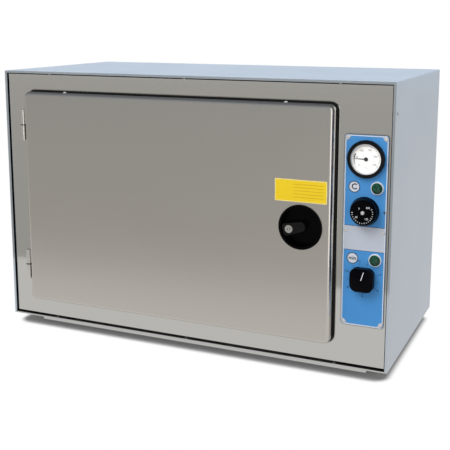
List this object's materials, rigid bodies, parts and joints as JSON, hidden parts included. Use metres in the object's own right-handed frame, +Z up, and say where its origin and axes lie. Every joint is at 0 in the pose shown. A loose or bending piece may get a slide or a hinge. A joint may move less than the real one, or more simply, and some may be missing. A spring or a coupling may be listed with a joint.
{
  "type": "dry heat sterilizer",
  "caption": "Bench-top dry heat sterilizer: steel cabinet, side-hinged door with turning cup latch, heated chamber with trays, dial thermometer and control knobs.",
  "frame": {"origin": "middle of the whole machine's footprint, at the foot rails' underside", "axes": "+X to the right seen from the front, +Y from the door to the back, +Z up"},
  "size_m": [0.7336, 0.3962, 0.485],
  "materials": {
    "cover": "brushed stainless, cool",
    "stainless": "satin",
    "fascia": "brushed",
    "chamber": "bright",
    "wool": "fibrous mineral wool",
    "heater": "heat-darkened",
    "hinge": "satin",
    "washer": "dark nylon",
    "plate_blue": "printed blue, satin",
    "screw": "bright",
    "bezel": "gloss",
    "case": "satin",
    "dial": "matt white",
    "glass": "clear",
    "needle": "matt black",
    "knob": "satin to gloss",
    "moulding": "moulded",
    "lamp_ring": "bright",
    "lamp_lens": "deep green, clear",
    "lamp_body": "moulded",
    "gland": "moulded",
    "door": "brushed, fine horizontal grain",
    "door_inside": "bright",
    "seal": "matt silicone",
    "label": "printed yellow",
    "cup": "gloss",
    "lever": "satin",
    "latch_metal": "plated",
    "lock": "nickel"
  },
  "bodies": {
    "cabinet": {"outer_cover": "cover", "base_pan": "stainless", "front_foot_rail": "stainless", "rear_foot_rail": "stainless", "rear_panel": "stainless", "chamber_supports": "stainless", "heat_shield": "stainless", "floor_baffle": "stainless", "rack_left": "stainless", "rack_right": "stainless", "lower_tray": "stainless", "upper_tray": "stainless", "latch_keeper": "stainless", "front_fascia": "fascia", "chamber_liner": "chamber", "chamber_insulation": "wool", "heating_element": "heater", "cabinet_hinge_leaves": "hinge", "hinge_pins": "hinge", "hinge_washers": "washer", "control_plate": "plate_blue", "plate_screws": "screw", "cover_screws": "screw", "rear_screws": "screw", "thermometer_bezel": "bezel", "thermometer_case": "case", "thermometer_probe": "case", "thermostat_probe": "case", "thermometer_dial": "dial", "thermometer_glass": "glass", "thermostat_body": "moulding", "timer_body": "moulding", "terminal_block": "moulding", "lamp_rings": "lamp_ring", "lamp_lenses": "lamp_lens", "lamp_bodies": "lamp_body", "cable_gland": "gland", "gland_nut": "gland"},
    "door": {"door_skin": "door", "door_inner_pan": "door_inside", "door_insulation": "wool", "door_gasket": "seal", "door_screws": "screw", "door_screw_blocks": "screw", "door_label": "label", "door_hinge_leaves": "hinge", "latch_cup": "cup", "cup_ring": "cup"},
    "latch": {"latch_lever": "lever", "latch_spindle": "latch_metal", "latch_cam": "latch_metal", "latch_nut": "latch_metal"},
    "lock": {"lock_cylinder": "lock"},
    "thermostat": {"thermostat_spindle": "case", "thermostat_knob": "knob", "thermostat_knob_screw": "screw"},
    "timer": {"timer_spindle": "case", "timer_knob": "knob"},
    "needle": {"thermometer_needle": "needle"}
  },
  "joints": [
    {"name": "door_hinge", "type": "hinge", "parent": "cabinet", "child": "door", "pos_m": [-0.3192, -0.1919, 0.253], "axis": [0, 0, -1], "range_deg": [0, 170]},
    {"name": "latch_turn", "type": "hinge", "parent": "door", "child": "latch", "pos_m": [0.2205, -0.1919, 0.249], "axis": [0, -1, 0], "range_deg": [0, 90]},
    {"name": "lock_turn", "type": "hinge", "parent": "latch", "child": "lock", "pos_m": [0.20061, -0.1919, 0.24404], "axis": [0, -1, 0], "range_deg": [0, 90]},
    {"name": "thermostat_turn", "type": "hinge", "parent": "cabinet", "child": "thermostat", "pos_m": [0.321, -0.1869, 0.281], "axis": [0, 1, 0], "range_deg": [0, 300]},
    {"name": "timer_turn", "type": "hinge", "parent": "cabinet", "child": "timer", "pos_m": [0.321, -0.1869, 0.1705], "axis": [0, 1, 0], "range_deg": [0, 330]},
    {"name": "needle_turn", "type": "hinge", "parent": "cabinet", "child": "needle", "pos_m": [0.321, -0.1809, 0.364], "axis": [0, 1, 0], "range_deg": [0, 240]}
  ]
}
